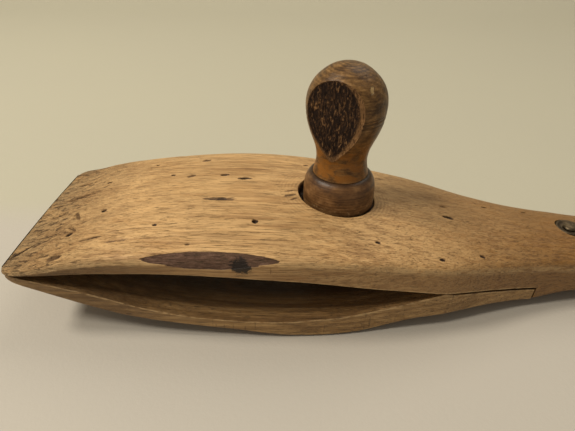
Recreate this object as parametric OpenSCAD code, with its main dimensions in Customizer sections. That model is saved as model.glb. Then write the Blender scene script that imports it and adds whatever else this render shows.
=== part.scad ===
// Wooden stitching clamp: a broad carved jaw and handle in one piece, a thin bowed
// spring jaw let into its underside, and a turned knob screw that draws the two together.
// Millimetres, +Z up, nose towards -X. The origin is at the centre of the footprint.

/* [Body] */
// Length from the nose to the butt of the handle
overall_l = 470; // [430:5:510]
// Greatest width across the jaws
jaw_w = 116.6; // [104:0.2:126]
// Height of the crowned back above the table
body_h = 63.4; // [60:0.2:67]

/* [Jaws] */
// Distance from the nose to the screw axis
screw_from_nose = 178; // [172:1:184]
// Gap left between the two lips when the jaws are shut
lip_gap = 0.35; // [0.3:0.05:0.6]
// How much narrower the spring jaw is on each side
leaf_inset = 0.8; // [0.4:0.1:2]
// How far the spring jaw's underside is rounded up at its edges
leaf_crown = 2.4; // [1:0.1:3]
// Radius of the rounded seat where the spring jaw flexes
flex_r = 9.6; // [9.4:0.1:10]

/* [Screw] */
// Radius over the crests of the wooden thread
thread_r = 12.5; // [11.5:0.1:13]
// Depth of the wooden thread
thread_depth = 2.4; // [1.8:0.1:2.8]
// Distance between two crests of the thread
thread_pitch = 8; // [7:0.5:9]
// Slack all round between the thread and the hole that it runs in
thread_slack = 1.1; // [1:0.05:1.3]
// Radius of the plain hole through the fixed jaw
shank_hole_r = 14.5; // [14:0.1:15.5]
// Greatest radius of the knob
knob_r = 21.3; // [20:0.1:23]
// Height of the top of the knob above the table
knob_top = 136; // [132:0.5:140]
// Distance of the flat thumb facet from the knob's axis
facet_d = 14.6; // [14.4:0.1:17]
// Direction in which the thumb facet looks, turned from the front towards the nose
facet_turn = 26; // [-40:1:40]

/* [Recess] */
// Radius of the worn recess that the collar sits in
recess_r = 22.4; // [22:0.1:23.5]
// Height of the recess floor above the table
recess_z = 54.8; // [53.5:0.1:56]
// How far the recess is worn towards the nose
recess_shift = 1.1; // [0:0.1:1.2]
// Running gap between the collar and the recess floor
collar_lift = 0.2; // [0.1:0.05:0.5]

/* [Tongue and rivets] */
// Length of the tongue hidden in the handle
tongue_l = 74; // [66:1:84]
// Width of the tongue
tongue_w = 26; // [20:1:30]
// Thickness of the tongue
tongue_t = 9; // [7:0.5:10]
// Radius of a rivet shank
rivet_r = 2.4; // [2:0.1:3]
// Radius of a rove, the washer that a rivet is closed over
rove_r = 8.3; // [7:0.1:9]
// Thickness of a rove
rove_t = 1.6; // [1.2:0.1:2]
// Distance between the two rivets
rivet_gap = 34; // [28:1:40]

/* [Hidden] */
$fn = 64;

// Scale factors that turn the nominal tables below into the chosen size.
long_k = overall_l / 470;
wide_k = jaw_w / 116.6;
high_k = body_h / 63.4;

// Half width of the plan outline: [distance from the nose, half width].
half_width = [[0, 49], [2, 53], [7, 55.4], [20, 56], [48, 55.8], [88, 57.9], [118, 58.3],
              [148, 58], [178, 55.8], [203, 52.4], [233, 47.8], [263, 39.2], [293, 31.4],
              [323, 27], [360, 25], [420, 25], [470, 25.5]];
// Height of the crowned back along the centre line.
ridge = [[0, 42.8], [6, 44.4], [13, 46.6], [28, 52], [48, 57], [73, 60.8], [118, 63.4],
         [158, 62], [178, 60], [218, 54], [258, 47.4], [323, 38.3], [380, 34.5], [440, 34],
         [470, 33]];
// Height of the edge between the back and the sides.
arris = [[0, 41.6], [13, 43.6], [28, 48.1], [48, 52], [73, 54.8], [118, 57.3], [158, 55.8],
         [178, 53.4], [218, 46.8], [240, 42.8], [270, 36], [323, 28], [380, 24], [470, 22]];
// Height where the sides of the handle turn into its rounded underside.
lower_edge = [[0, 8], [230, 8], [296, 9.5], [323, 16], [380, 15], [470, 15]];
// Height of the handle's underside along the centre line.
handle_base = [[0, 2], [230, 4], [296, 4.2], [330, 3.4], [380, 2], [425, -0.5], [470, -0.5]];
// Underside of the fixed jaw: the roof of the mouth, then the seat of the spring jaw.
mouth_roof = [[0, 41], [13, 41.2], [54, 43.8], [85, 46], [115, 45.2], [150, 42.6], [165, 40.6],
              [181, 37.4], [197, 33.7], [220, 28.9], [234, 25.6]];
// Upper face of the spring jaw, which is the floor of the mouth.
leaf_top = [[0, 41], [6, 40.2], [22, 36], [46, 28.5], [71, 20.8], [102, 15.1], [140, 12.6],
            [170, 13.9], [194, 16.8], [216, 21.2], [234, 25.2]];
// Lower face of the spring jaw. It is worn flat where it dips to the table.
leaf_base = [[0, 37.4], [8, 33], [28, 24], [48, 15.5], [63, 11.2], [101, 6.3], [123, 3.6],
             [150, -0.5], [188, -0.5], [220, 5.8], [240, 6.9], [272, 6.6], [297, 4.4]];
// Turned outline of the knob above the collar: [share of the height, share of the radius].
knob_outline = [[0, 0.735], [0.05, 0.70], [0.12, 0.672], [0.17, 0.67], [0.25, 0.71],
                [0.33, 0.79], [0.41, 0.88], [0.51, 0.965], [0.61, 1], [0.69, 0.995],
                [0.77, 0.945], [0.85, 0.82], [0.92, 0.62], [0.97, 0.4], [1, 0.14]];

flex_x = 234 * long_k;
shoulder_x = 296 * long_k;
screw_x = screw_from_nose * long_k;
rivet_x = 323 * long_k;
butt_l = 22;
flex_z = 16 * high_k;
seat_z = 15.8 * high_k;
step_x = 6;
eps = 0.02;

collar_base = recess_z + collar_lift;
collar_top = collar_base + 20.6;
collar_r = knob_r * 0.972;
screw_end = 1.5;
collar_bore = thread_r + 0.05;
screw_fullness = 1.25;
hole_fullness = 2;
tongue_z = 13.5 * high_k;
rivet_head_r = 4.4;
rivet_head_h = 1.6;
rivet_xs = [rivet_x, rivet_x + rivet_gap];

// Smooth curve through the points of a table, by cubic pieces with matched slopes.
function span(t, x, i = 0) = i >= len(t) - 2 || x < t[i + 1][0] ? i : span(t, x, i + 1);
function rise(t, i, j) = (t[j][1] - t[i][1]) / (t[j][0] - t[i][0]);
function slope(t, i) = rise(t, max(i - 1, 0), min(i + 1, len(t) - 1));
function cubic(a, b, ma, mb, h, s) =
    a * (1 + 2 * s) * pow(1 - s, 2) + h * ma * s * pow(1 - s, 2)
    + b * s * s * (3 - 2 * s) - h * mb * s * s * (1 - s);
function along(t, x) =
    let (i = span(t, x), h = t[i + 1][0] - t[i][0], s = (x - t[i][0]) / h)
    cubic(t[i][1], t[i + 1][1], slope(t, i), slope(t, i + 1), h, min(1, max(0, s)));

// The tables at the chosen size, at a distance x from the nose.
function width_at(x) = wide_k * along(half_width, x / long_k);
function ridge_at(x) = high_k * along(ridge, x / long_k);
function arris_at(x) = high_k * along(arris, x / long_k);
function lower_at(x) = high_k * along(lower_edge, x / long_k);
function base_at(x) = max(0, high_k * along(handle_base, x / long_k));
function roof_at(x) = high_k * along(mouth_roof, x / long_k);
function top_at(x) = high_k * along(leaf_top, x / long_k) - lip_gap;
function belly_at(x) = high_k * along(leaf_base, x / long_k);

// 0 along the flat-sided jaw, 1 along the rounded handle.
function handle_share(x) = min(1, max(0, (x / long_k - 225) / 95));
// Shrinks the last sections to a rounded butt.
function butt_share(x) =
    let (t = (x - overall_l + butt_l) / butt_l)
    t <= 0 ? 1 : sqrt(1 - pow(t * 0.93, 2));

// One cross-section of the fixed jaw, crowned above and rounded below.
section_turns = [0:15:180];
function section(x) =
    let (w = width_at(x), zr = ridge_at(x), za = arris_at(x), zl = lower_at(x),
         zb = base_at(x), h = handle_share(x), k = butt_share(x),
         upper = 2 - 1.2 * h, lower = 0.35 + 0.3 * h, mid = (zl + za) / 2)
    [for (p = concat(
        [for (a = section_turns) [w * cos(a), za + (zr - za) * pow(sin(a), upper)]],
        [for (a = section_turns) [-w * cos(a), zl - (zl - zb) * pow(sin(a), lower)]]))
        [x, p[0] * k, mid + (p[1] - mid) * k]];

// Solid skinned over a row of cross-sections that all have the same number of points.
// Seen from the far end of the row, the points of each section run anticlockwise.
module skin(rows) {
    n = len(rows[0]);
    m = len(rows);
    sides = [for (i = [0:m - 2], j = [0:n - 1])
        [i * n + j, (i + 1) * n + j, (i + 1) * n + (j + 1) % n, i * n + (j + 1) % n]];
    start = [for (j = [0:n - 1]) j];
    end = [for (j = [n - 1:-1:0]) (m - 1) * n + j];
    polyhedron([for (r = rows, p = r) p], concat([start, end], sides), convexity = 8);
}

// Moves a part from nose coordinates to the frame of the whole object.
module from_nose() {
    translate([-overall_l / 2, 0, 0]) children();
}

// The whole spring jaw before it is parted at the flex line: flat above, crowned below.
function spring_top(x) =
    x < flex_x ? top_at(x)
    : roof_at(flex_x) + (seat_z - roof_at(flex_x)) * (x - flex_x) / (shoulder_x - flex_x);
function spring_section(x) =
    let (w = width_at(x) - leaf_inset, zt = spring_top(x), zb = belly_at(x),
         crown = min(leaf_crown, 0.3 * (zt - zb)))
    concat([[x, w, zt], [x, -w, zt]],
           [for (k = [-1:0.2:1]) [x, k * w, max(0, zb + crown * k * k)]]);
module spring_blank() {
    xs = concat([0.4, 2, 4, 7, 12], [for (x = [18:step_x:flex_x - 2]) x], [flex_x - eps],
                [for (x = [flex_x:8:shoulder_x - 2]) x], [shoulder_x]);
    skin([for (x = xs) spring_section(x)]);
}

// Cylinder about the flex line.
module flex_round(r, half_l) {
    translate([flex_x, 0, flex_z]) rotate([90, 0, 0])
        cylinder(r = r, h = 2 * half_l, center = true);
}

// Right-hand wooden thread as a solid rod. A larger fullness gives broader crests, and
// grow widens the rod, which together cut the hole that the screw runs in.
module threaded_rod(z0, z1, fullness, grow = 0) {
    rows = round((z1 - z0) / thread_pitch * 8);
    core_r = thread_r - thread_depth + grow;
    skin([for (i = [0:rows])
        let (z = z0 + (z1 - z0) * i / rows)
        [for (a = [0:15:345])
            let (phase = z / thread_pitch - a / 360,
                 crest = fullness - abs(phase - floor(phase) - 0.5) * 5,
                 r = core_r + thread_depth * min(1, max(0, crest)))
            [r * cos(a), r * sin(a), z]]]);
}

// Everything under the fixed jaw: the mouth, the seat and the shoulder, drawn in side view.
module underside_cut() {
    roof = [for (x = [0:step_x:flex_x]) [x, roof_at(x)]];
    rotate([90, 0, 0]) linear_extrude(jaw_w + 20, center = true)
        polygon(concat(
            [[-10, roof_at(0)]], roof,
            [[flex_x, roof_at(flex_x)], [shoulder_x, seat_z], [shoulder_x, -10], [-10, -10]]));
}

module fixed_jaw() {
    xs = concat([0.0, 2, 4, 7, 10, 15, 20], [for (x = [28:10:overall_l - butt_l - 2]) x],
                [for (t = [0:0.2:1]) overall_l - butt_l * (1 - sin(90 * t))]);
    color("peru") from_nose() difference() {
        skin([for (x = xs) section(x)]);
        underside_cut();
        translate([screw_x - recess_shift, 0, recess_z]) cylinder(r = recess_r, h = 40);
        translate([screw_x, 0, 0]) cylinder(r = shank_hole_r, h = body_h);
        translate([shoulder_x - 10, -tongue_w / 2, tongue_z - tongue_t / 2])
            cube([tongue_l + 11, tongue_w, tongue_t]);
        for (x = rivet_xs) {
            translate([x, 0, -5]) cylinder(r = rivet_r, h = body_h);
            translate([x, 0, rove_seat(x)]) cylinder(r = rove_r + 0.3, h = 20);
            translate([x, 0, rove_floor(x) - 20]) cylinder(r = rove_r + 0.3, h = 20);
        }
    }
}

// Heights of the two spot faces that the roves sit on.
function rove_seat(x) = ridge_at(x + rove_r) - 0.5;
function rove_floor(x) = base_at(x) + rove_t + rivet_head_h + 0.4;

module spring_jaw_root() {
    color("burlywood") from_nose() difference() {
        union() {
            spring_blank();
            translate([shoulder_x - 10, -tongue_w / 2, tongue_z - tongue_t / 2])
                cube([tongue_l + 10, tongue_w, tongue_t]);
        }
        translate([-10, -jaw_w, -10]) cube([flex_x + 10, 2 * jaw_w, body_h]);
        flex_round(flex_r + 0.3, jaw_w);
        for (x = rivet_xs) translate([x, 0, -5]) cylinder(r = rivet_r, h = body_h);
    }
}

module spring_jaw_leaf() {
    color("sandybrown") from_nose() difference() {
        union() {
            difference() {
                spring_blank();
                translate([flex_x - eps, -jaw_w, -10]) cube([overall_l, 2 * jaw_w, body_h]);
            }
            flex_round(flex_r - 0.3, width_at(flex_x + flex_r) - leaf_inset);
        }
        translate([screw_x, 0, 0]) threaded_rod(-3, 21, hole_fullness, thread_slack);
    }
}

module clamp_screw() {
    knob_h = knob_top - collar_top;
    steps = 36;
    outline = [for (i = [0:steps])
        let (s = i / steps) [knob_r * along(knob_outline, s), collar_top + knob_h * s]];
    color("rosybrown") from_nose() translate([screw_x, 0, 0]) {
        difference() {
            union() {
                rotate_extrude()
                    polygon(concat([[0, collar_top]], outline, [[0, knob_top]]));
                translate([0, 0, recess_z - 6])
                    cylinder(r = thread_r, h = collar_top - recess_z + 6 + eps);
            }
            rotate([0, 0, -facet_turn]) translate([-knob_r - 2, -facet_d - 20, collar_top + 0.15 * knob_h])
                cube([2 * knob_r + 4, 20, knob_h]);
        }
        threaded_rod(screw_end, recess_z - 6 + eps, screw_fullness);
    }
}

module knob_collar() {
    color("tan") from_nose() translate([screw_x, 0, 0]) rotate_extrude()
        polygon([[collar_bore, collar_base], [collar_r - 1, collar_base],
                 [collar_r, collar_base + 1.2], [collar_r, collar_base + 11],
                 [collar_r * 0.985, collar_base + 14], [collar_r * 0.94, collar_base + 16.6],
                 [collar_r * 0.86, collar_base + 19], [collar_r * 0.78, collar_top],
                 [collar_bore, collar_top]]);
}

module tongue_rivets() {
    color("darkkhaki") from_nose() for (x = rivet_xs) {
        low = rove_floor(x) - rove_t;
        high = rove_seat(x) + rove_t;
        translate([x, 0, low]) cylinder(r = rivet_r, h = high - low);
        translate([x, 0, low - rivet_head_h])
            cylinder(r1 = rivet_head_r * 0.8, r2 = rivet_head_r, h = rivet_head_h);
        translate([x, 0, high])
            cylinder(r1 = rivet_head_r, r2 = rivet_head_r * 0.7, h = rivet_head_h);
    }
}

module rivet_roves() {
    color("dimgray") from_nose() for (x = rivet_xs, z = [rove_floor(x) - rove_t, rove_seat(x)])
        translate([x, 0, z]) difference() {
            cylinder(r = rove_r, h = rove_t);
            translate([0, 0, -1]) cylinder(r = rivet_r, h = rove_t + 2);
        }
}

fixed_jaw();
spring_jaw_root();
spring_jaw_leaf();
clamp_screw();
knob_collar();
tongue_rivets();
rivet_roves();
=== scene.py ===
import bmesh
import bpy
import math
from mathutils import Matrix, Vector, noise
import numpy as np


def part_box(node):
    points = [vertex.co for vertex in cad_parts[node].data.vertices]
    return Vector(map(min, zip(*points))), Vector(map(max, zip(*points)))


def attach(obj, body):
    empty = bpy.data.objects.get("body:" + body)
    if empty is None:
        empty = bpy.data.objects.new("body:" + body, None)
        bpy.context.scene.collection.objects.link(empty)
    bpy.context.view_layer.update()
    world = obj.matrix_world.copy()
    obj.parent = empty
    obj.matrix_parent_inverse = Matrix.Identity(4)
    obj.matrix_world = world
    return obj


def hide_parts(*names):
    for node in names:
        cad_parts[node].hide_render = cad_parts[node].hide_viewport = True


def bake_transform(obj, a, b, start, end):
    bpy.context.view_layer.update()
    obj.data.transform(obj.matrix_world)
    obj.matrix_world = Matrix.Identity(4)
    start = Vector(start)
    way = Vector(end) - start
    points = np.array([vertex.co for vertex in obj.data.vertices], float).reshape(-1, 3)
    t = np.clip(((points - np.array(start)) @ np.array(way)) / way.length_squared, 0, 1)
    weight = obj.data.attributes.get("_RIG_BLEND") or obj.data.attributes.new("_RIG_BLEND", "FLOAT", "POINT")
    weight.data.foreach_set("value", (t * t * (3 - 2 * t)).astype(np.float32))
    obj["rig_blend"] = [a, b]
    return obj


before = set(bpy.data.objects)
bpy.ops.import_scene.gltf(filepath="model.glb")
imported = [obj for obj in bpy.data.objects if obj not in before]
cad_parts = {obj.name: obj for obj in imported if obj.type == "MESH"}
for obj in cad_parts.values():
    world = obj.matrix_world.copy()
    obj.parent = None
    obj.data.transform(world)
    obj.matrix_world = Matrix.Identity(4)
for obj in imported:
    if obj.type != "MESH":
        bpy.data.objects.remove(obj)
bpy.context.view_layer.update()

# the maker's rule: heights and widths in mm, at distances in mm from the nose
halfWidth = [[0, 49], [2, 53], [7, 55.4], [20, 56], [48, 55.8], [88, 57.9], [118, 58.3],
             [148, 58], [178, 55.8], [203, 52.4], [233, 47.8], [263, 39.2], [293, 31.4],
             [323, 27], [360, 25], [420, 25], [470, 25.5]]
ridge = [[0, 42.8], [6, 44.4], [13, 46.6], [28, 52], [48, 57], [73, 60.8], [118, 63.4],
         [158, 62], [178, 60], [218, 54], [258, 47.4], [323, 38.3], [380, 34.5], [440, 34],
         [470, 33]]
arris = [[0, 41.6], [13, 43.6], [28, 48.1], [48, 52], [73, 54.8], [118, 57.3], [158, 55.8],
         [178, 53.4], [218, 46.8], [240, 42.8], [270, 36], [323, 28], [380, 24], [470, 22]]
lowerEdge = [[0, 8], [230, 8], [296, 9.5], [323, 16], [380, 15], [470, 15]]
handleBase = [[0, 2], [230, 4], [296, 4.2], [330, 3.4], [380, 2], [425, -0.5], [470, -0.5]]
mouthRoof = [[0, 41], [13, 41.2], [54, 43.8], [85, 46], [115, 45.2], [150, 42.6], [165, 40.6],
             [181, 37.4], [197, 33.7], [220, 28.9], [234, 25.6]]
leafTop = [[0, 41], [6, 40.2], [22, 36], [46, 28.5], [71, 20.8], [102, 15.1], [140, 12.6],
           [170, 13.9], [194, 16.8], [216, 21.2], [234, 25.2]]
leafBase = [[0, 37.4], [8, 33], [28, 24], [48, 15.5], [63, 11.2], [101, 6.3], [123, 3.6],
            [150, -0.5], [188, -0.5], [220, 5.8], [240, 6.9], [272, 6.6], [297, 4.4]]
wholeLength = 470
screwAt = 178
flexAt = 234
shoulderAt = 296
seatHeight = 15.8
rivetsAt = [323, 357]


def along(table, x):
    i = 0
    while i < len(table) - 2 and x >= table[i + 1][0]:
        i += 1

    def lean(a, b):
        return (table[b][1] - table[a][1]) / (table[b][0] - table[a][0])

    def slope(k):
        return lean(max(k - 1, 0), min(k + 1, len(table) - 1))

    step = table[i + 1][0] - table[i][0]
    s = min(1, max(0, (x - table[i][0]) / step))
    start, end = table[i][1], table[i + 1][1]
    rise = step * s * (1 - s) * (slope(i) * (1 - s) - slope(i + 1) * s)
    return start * (1 + 2 * s) * (1 - s) ** 2 + end * s * s * (3 - 2 * s) + rise


def soft(value, low=0.0, high=1.0):
    s = min(1, max(0, (value - low) / (high - low)))
    return s * s * (3 - 2 * s)


def spread(low, high, count):
    return [low + (high - low) * i / count for i in range(count)]


def toFrame(point):
    return Vector(((point[0] - wholeLength / 2) / 1000, point[1] / 1000, point[2] / 1000))


def gridBlock(columns, rows, levels):
    # a closed block of cells: each point carries its own column, row and level as x, y and z
    bm = bmesh.new()
    bmesh.ops.create_grid(bm, x_segments=columns, y_segments=rows, size=0.5)
    bmesh.ops.translate(bm, verts=bm.verts, vec=(0.5, 0.5, 0))
    bmesh.ops.scale(bm, verts=bm.verts, vec=(columns, rows, 1))
    lifted = bmesh.ops.extrude_face_region(bm, geom=bm.faces[:])["geom"]
    top = [v for v in lifted if isinstance(v, bmesh.types.BMVert)]
    bmesh.ops.translate(bm, verts=top, vec=(0, 0, levels))
    upright = [e for e in bm.edges if abs(e.verts[0].co.z - e.verts[1].co.z) > 0.5]
    bmesh.ops.subdivide_edges(bm, edges=upright, cuts=levels - 1, use_grid_fill=True)
    bmesh.ops.recalc_face_normals(bm, faces=bm.faces)
    return bm


def ringOf(column, row, centre):
    across, up = column - centre[0], row - centre[1]
    ring = max(abs(across), abs(up))
    if ring == 0:
        return 0, 0.0
    if abs(across) >= abs(up):
        turn = math.pi / 4 * up / across + (math.pi if across < 0 else 0)
    else:
        turn = math.copysign(math.pi / 2, up) - math.pi / 4 * across / up
    return ring, turn


def ringed(x, y, cell, spot):
    # cells round a centre lie in circles of the spot's radii, and run back to the grid further out
    ring, turn = ringOf(cell[0], cell[1], spot["cell"])
    first, radii = spot["first"], spot["radii"]
    last = first + len(radii) - 1
    if ring < first or ring >= spot["calm"]:
        return x, y, None
    reach = radii[ring - first] if ring <= last else radii[-1] + (ring - last) * spot["step"]
    shift = spot.get("shift", 0) if ring > first + 1 else 0
    roundX = spot["at"][0] + shift + reach * math.cos(turn)
    roundY = spot["at"][1] + reach * math.sin(turn)
    if ring <= last:
        return roundX, roundY, ring - first
    s = soft(ring, last, spot["calm"])
    return roundX + (x - roundX) * s, roundY + (y - roundY) * s, None


def newPiece(bm, name, material, sharpAngle, inMm=True):
    # in mm from the nose, or already in the frame's metres
    if inMm:
        for v in bm.verts:
            v.co = toFrame(v.co)
    bmesh.ops.recalc_face_normals(bm, faces=bm.faces)
    seated = bm.verts.layers.float.get("seated")
    if seated:
        bm.verts.layers.float.remove(seated)
    mesh = bpy.data.meshes.new(name)
    for face in bm.faces:
        face.smooth = True
    bm.to_mesh(mesh)
    bm.free()
    mesh.set_sharp_from_angle(angle=math.radians(sharpAngle))
    piece = bpy.data.objects.new(name, mesh)
    bpy.context.scene.collection.objects.link(piece)
    mesh.materials.append(material)
    print(name, "has", sum(len(p.vertices) - 2 for p in mesh.polygons), "triangles")
    return piece


def spinProfile(bm, points, steps, centre):
    # a closed or pole-to-pole profile of (radius, height) in mm, spun about an upright axis
    place = toFrame((centre, 0, 0))
    made = [bm.verts.new(place + Vector((r / 1000, 0, z / 1000))) for r, z in points]
    edges = [bm.edges.new(pair) for pair in zip(made, made[1:])]
    before = set(bm.verts) - set(made)
    bmesh.ops.spin(bm, geom=made + edges, cent=place, axis=(0, 0, 1), dvec=(0, 0, 0),
                   angle=2 * math.pi, steps=steps, use_merge=True, use_duplicate=False)
    fresh = [v for v in bm.verts if v not in before]
    bmesh.ops.remove_doubles(bm, verts=fresh, dist=0.000002)


def addNode(tree, kind, inputs=None, **settings):
    made = tree.nodes.new("ShaderNode" + kind)
    for key, value in settings.items():
        setattr(made, key, value)
    for key, value in (inputs or {}).items():
        if isinstance(value, bpy.types.NodeSocket):
            tree.links.new(value, made.inputs[key])
        else:
            made.inputs[key].default_value = value
    return made


def calc(tree, operation, *values, clamp=False):
    return addNode(tree, "Math", dict(enumerate(values)), operation=operation,
                   use_clamp=clamp).outputs[0]


def remap(tree, value, low, high, toLow=0.0, toHigh=1.0):
    made = addNode(tree, "MapRange", {0: value, 1: low, 2: high, 3: toLow, 4: toHigh},
                   interpolation_type="SMOOTHSTEP")
    return made.outputs[0]


def mixColour(tree, factor, first, second, blend="MIX"):
    made = addNode(tree, "Mix", {0: factor, 6: first, 7: second}, data_type="RGBA",
                   blend_type=blend)
    return made.outputs[2]


def colourRamp(tree, value, stops):
    made = addNode(tree, "ValToRGB", {0: value})
    ramp = made.color_ramp
    while len(ramp.elements) < len(stops):
        ramp.elements.new(0.5)
    for element, (place, colour) in zip(ramp.elements, stops):
        element.position = place
        element.color = (*colour, 1)
    return made.outputs[0]


def scaled(tree, vector, x, y, z, move=(0, 0, 0)):
    made = addNode(tree, "Mapping", {0: vector, 1: move, 3: (1 / x, 1 / y, 1 / z)})
    return made.outputs[0]


def noiseOf(tree, vector, detail=3.0, roughness=0.55, distortion=0.0):
    made = addNode(tree, "TexNoise", {"Vector": vector, "Scale": 1.0, "Detail": detail,
                                      "Roughness": roughness, "Distortion": distortion})
    return made.outputs[0]


def startGroup(name, inputs, outputs):
    tree = bpy.data.node_groups.new(name, "ShaderNodeTree")
    for label, kind, value in inputs:
        made = tree.interface.new_socket(name=label, in_out="INPUT", socket_type=kind)
        if value is not None:
            made.default_value = value
    for label in outputs:
        tree.interface.new_socket(name=label, in_out="OUTPUT", socket_type="NodeSocketFloat")
    start = tree.nodes.new("NodeGroupInput")
    end = tree.nodes.new("NodeGroupOutput")
    return tree, start.outputs, end.inputs


def useGroup(tree, group, inputs):
    made = tree.nodes.new("ShaderNodeGroup")
    made.node_tree = group
    for key, value in inputs.items():
        if isinstance(value, bpy.types.NodeSocket):
            tree.links.new(value, made.inputs[key])
        else:
            made.inputs[key].default_value = value
    return made.outputs


def layered(tree, colour, *layers):
    # each layer is a mask, its strength and the colour that is laid over the ones before
    for mask, strength, above in layers:
        over = above if isinstance(above, bpy.types.NodeSocket) else (*above, 1)
        colour = mixColour(tree, calc(tree, "MULTIPLY", mask, strength), colour, over)
    return colour


def summed(tree, *pairs):
    # several values, each with its share
    total = calc(tree, "MULTIPLY", *pairs[0])
    for value, share in pairs[1:]:
        total = calc(tree, "MULTIPLY_ADD", value, share, total)
    return total


def distanceOf(tree, across, up):
    return calc(tree, "SQRT", calc(tree, "ADD", calc(tree, "MULTIPLY", across, across),
                                   calc(tree, "MULTIPLY", up, up)))


def wavy(tree, phase):
    return calc(tree, "MULTIPLY_ADD", calc(tree, "SINE", phase), 0.5, 0.5)


def separated(tree, place):
    return addNode(tree, "SeparateXYZ", {0: place}).outputs


def combined(tree, x, y, z):
    return addNode(tree, "CombineXYZ", {0: x, 1: y, 2: z}).outputs[0]


def vectorMath(tree, operation, first, second):
    key = "Scale" if operation == "SCALE" else 1
    return addNode(tree, "VectorMath", {0: first, key: second}, operation=operation).outputs[0]


def makeFigureGroup():
    # the wood's own figure, its grain along the first axis of Place, which is in mm
    number = "NodeSocketFloat"
    tree, inp, out = startGroup(
        "woodFigure",
        [("Place", "NodeSocketVector", None), ("Length", number, 60.0), ("Width", number, 1.2),
         ("Ring", number, 5.0), ("Sway", number, 5.0), ("Pith Y", number, 90.0),
         ("Pith Z", number, -160.0)],
        ["Fibre", "Rings", "Pores", "Blotch"])
    place = inp["Place"]
    swayNoise = addNode(tree, "TexNoise", {"Vector": scaled(tree, place, 110, 55, 55),
                                           "Scale": 1.0, "Detail": 2.0})
    centred = vectorMath(tree, "SUBTRACT", swayNoise.outputs[1], (0.5, 0.5, 0.5))
    bent = vectorMath(tree, "ADD", place, vectorMath(tree, "SCALE", centred, inp["Sway"]))
    parts = separated(tree, bent)
    fibrePlace = combined(tree, calc(tree, "DIVIDE", parts[0], inp["Length"]),
                          calc(tree, "DIVIDE", parts[1], inp["Width"]),
                          calc(tree, "DIVIDE", parts[2], inp["Width"]))
    coarse = noiseOf(tree, scaled(tree, fibrePlace, 1, 3.4, 3.4), 4, 0.6)
    fibre = summed(tree, (coarse, 0.4), (noiseOf(tree, fibrePlace, 3, 0.6), 0.6))
    # year rings round the pith of the tree
    fromPith = distanceOf(tree, calc(tree, "SUBTRACT", parts[1], inp["Pith Y"]),
                          calc(tree, "SUBTRACT", parts[2], inp["Pith Z"]))
    unsteady = calc(tree, "MULTIPLY", noiseOf(tree, scaled(tree, place, 200, 24, 24), 2), 3.0)
    phase = calc(tree, "ADD", calc(tree, "DIVIDE", fromPith, inp["Ring"]), unsteady)
    dashes = noiseOf(tree, scaled(tree, bent, 13, 0.42, 0.42), 3, 0.6)
    tree.links.new(fibre, out["Fibre"])
    tree.links.new(wavy(tree, calc(tree, "MULTIPLY", phase, 2 * math.pi)), out["Rings"])
    tree.links.new(remap(tree, dashes, 0.57, 0.70), out["Pores"])
    tree.links.new(noiseOf(tree, scaled(tree, bent, 85, 26, 26), 4, 0.6), out["Blotch"])
    return tree


def makeWearGroup():
    # years of handling: grime, fine scratches, small dents and specks
    tree, inp, out = startGroup(
        "handWear",
        [("Place", "NodeSocketVector", None), ("Size", "NodeSocketFloat", 1.0)],
        ["Grime", "Scratch", "Specks", "Dents"])
    place = vectorMath(tree, "SCALE", inp["Place"], inp["Size"])
    cloudy = noiseOf(tree, scaled(tree, place, 30, 18, 18), 6, 0.68)
    streaky = noiseOf(tree, scaled(tree, place, 26, 4, 4, (7, 3, 1)), 5, 0.65)
    grime = summed(tree, (cloudy, 0.6), (streaky, 0.4))
    lines = []
    for turn, lift in ((0.33, 3.0), (-0.42, 11.0)):
        aim = addNode(tree, "VectorRotate", {"Vector": place, "Angle": turn},
                      rotation_type="Z_AXIS").outputs[0]
        thin = noiseOf(tree, scaled(tree, aim, 16, 0.6, 20, (lift, 0, lift)), 2, 0.5)
        lines.append(remap(tree, thin, 0.69, 0.76))
    # one cell in five holds a speck
    cells = addNode(tree, "TexVoronoi", {"Vector": scaled(tree, place, 12, 9, 9),
                                         "Scale": 1.0, "Randomness": 1.0})
    chosen = addNode(tree, "SeparateColor", {0: cells.outputs["Color"]}).outputs
    size = calc(tree, "MULTIPLY", calc(tree, "GREATER_THAN", chosen[0], 0.8), 0.075)
    specks = calc(tree, "LESS_THAN", cells.outputs["Distance"],
                  calc(tree, "MULTIPLY", size, chosen[1]))
    dents = noiseOf(tree, scaled(tree, place, 6, 4, 4), 3, 0.5)
    tree.links.new(grime, out["Grime"])
    tree.links.new(calc(tree, "MAXIMUM", *lines), out["Scratch"])
    tree.links.new(specks, out["Specks"])
    tree.links.new(dents, out["Dents"])
    return tree


figureGroup = makeFigureGroup()
wearGroup = makeWearGroup()


def startMaterial(name):
    material = bpy.data.materials.new(name)
    material.use_nodes = True
    tree = material.node_tree
    coords = addNode(tree, "TexCoord").outputs["Object"]
    place = vectorMath(tree, "SCALE", coords, 1000.0)
    return material, tree, tree.nodes["Principled BSDF"], place


def field(tree, name):
    return addNode(tree, "Attribute", attribute_name=name).outputs["Fac"]


def finishMaterial(tree, shader, colour, roughness, height, bumpDepth, **sockets):
    bump = addNode(tree, "Bump", {"Height": height, "Strength": 1.0,
                                  "Distance": bumpDepth / 1000})
    tree.links.new(colour, shader.inputs["Base Color"])
    tree.links.new(roughness, shader.inputs["Roughness"])
    tree.links.new(bump.outputs[0], shader.inputs["Normal"])
    for label, value in sockets.items():
        shader.inputs[label].default_value = value


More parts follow.
